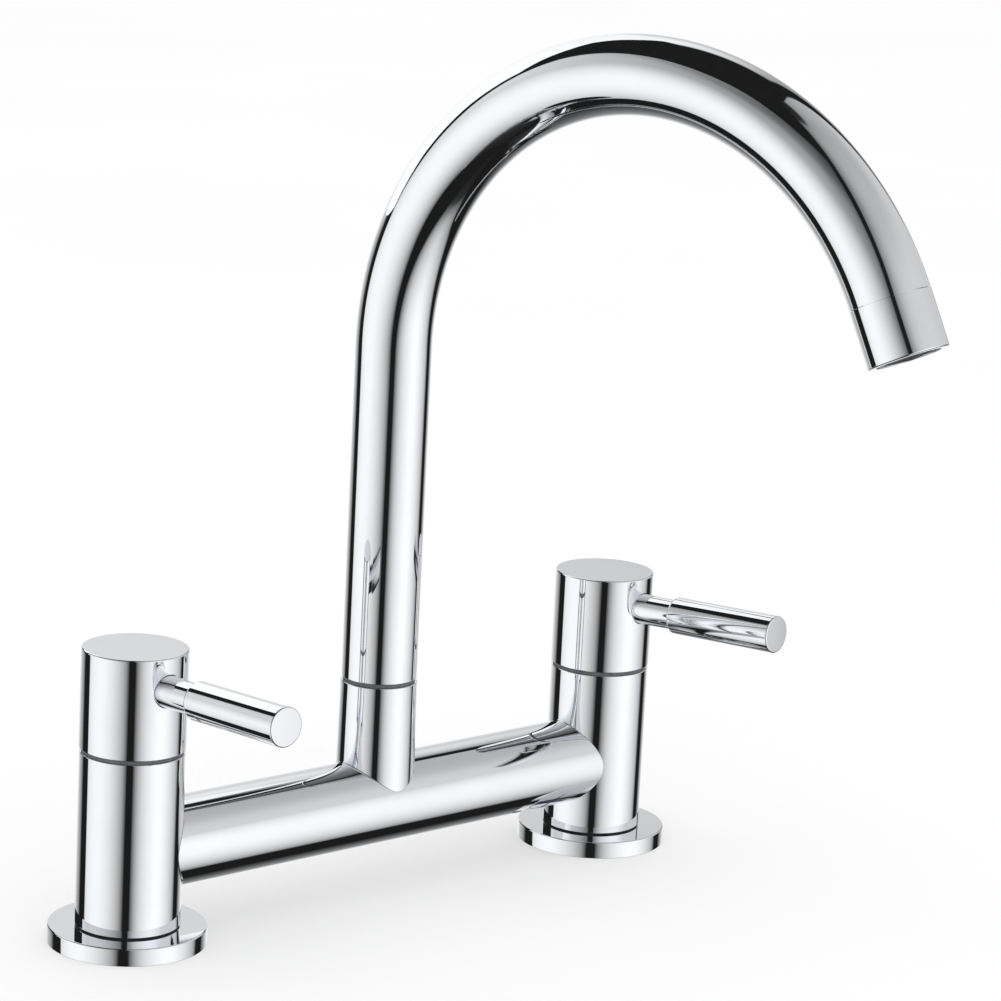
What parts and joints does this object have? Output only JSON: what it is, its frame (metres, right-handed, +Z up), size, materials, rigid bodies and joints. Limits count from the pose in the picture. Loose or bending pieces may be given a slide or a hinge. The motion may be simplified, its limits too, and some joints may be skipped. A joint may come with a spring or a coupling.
{
  "type": "bridge kitchen faucet",
  "caption": "Deck-mounted bridge kitchen faucet: two lever valve pillars on round flanges, joined by a tube that carries a swivelling gooseneck spout.",
  "frame": {"origin": "on the deck plane, halfway between the two inlets", "axes": "+X along the bridge from the left pillar to the right one, -Y towards the user and the sink, +Z up"},
  "size_m": [0.2552, 0.2336, 0.3002],
  "materials": {
    "chrome": "polished",
    "brass": "machined",
    "steel": "machined",
    "ceramic": "lapped",
    "rubber": "matte",
    "nylon": "matte"
  },
  "bodies": {
    "valve_body": {"left_flange": "chrome", "left_flange_gasket": "rubber", "left_pillar": "chrome", "left_cartridge_housing": "brass", "left_cartridge_ring": "rubber", "left_cartridge_seal": "rubber", "left_fixed_disc": "ceramic", "left_glide_ring": "nylon", "right_flange": "chrome", "right_flange_gasket": "rubber", "right_pillar": "chrome", "right_cartridge_housing": "brass", "right_cartridge_ring": "rubber", "right_cartridge_seal": "rubber", "right_fixed_disc": "ceramic", "right_glide_ring": "nylon", "bridge_tube": "chrome", "spout_socket": "chrome", "spout_glide_ring": "nylon", "spout_screw": "steel"},
    "left_handle": {"left_moving_disc": "ceramic", "left_spindle": "brass", "left_stem_ring": "rubber", "left_circlip": "steel", "left_spline_insert": "nylon", "left_handle_cap": "chrome", "left_lever": "chrome", "left_grub_screw": "steel"},
    "right_handle": {"right_moving_disc": "ceramic", "right_spindle": "brass", "right_stem_ring": "rubber", "right_circlip": "steel", "right_spline_insert": "nylon", "right_handle_cap": "chrome", "right_lever": "chrome", "right_grub_screw": "steel"},
    "spout": {"spout_spigot": "brass", "spout_ring_1": "rubber", "spout_ring_2": "rubber", "spout_tube": "chrome", "nozzle_sleeve": "chrome", "aerator_seal": "rubber", "aerator_body": "nylon", "aerator_screen": "steel"}
  },
  "joints": [
    {"name": "left_handle_turn", "type": "hinge", "parent": "valve_body", "child": "left_handle", "pos_m": [-0.1016, 0, 0.065], "axis": [0, 0, 1], "range_deg": [-90, 0]},
    {"name": "right_handle_turn", "type": "hinge", "parent": "valve_body", "child": "right_handle", "pos_m": [0.1016, 0, 0.065], "axis": [0, 0, 1], "range_deg": [0, 90]},
    {"name": "spout_swivel", "type": "hinge", "parent": "valve_body", "child": "spout", "pos_m": [0, 0, 0.074], "axis": [0, 0, 1], "continuous": true}
  ]
}
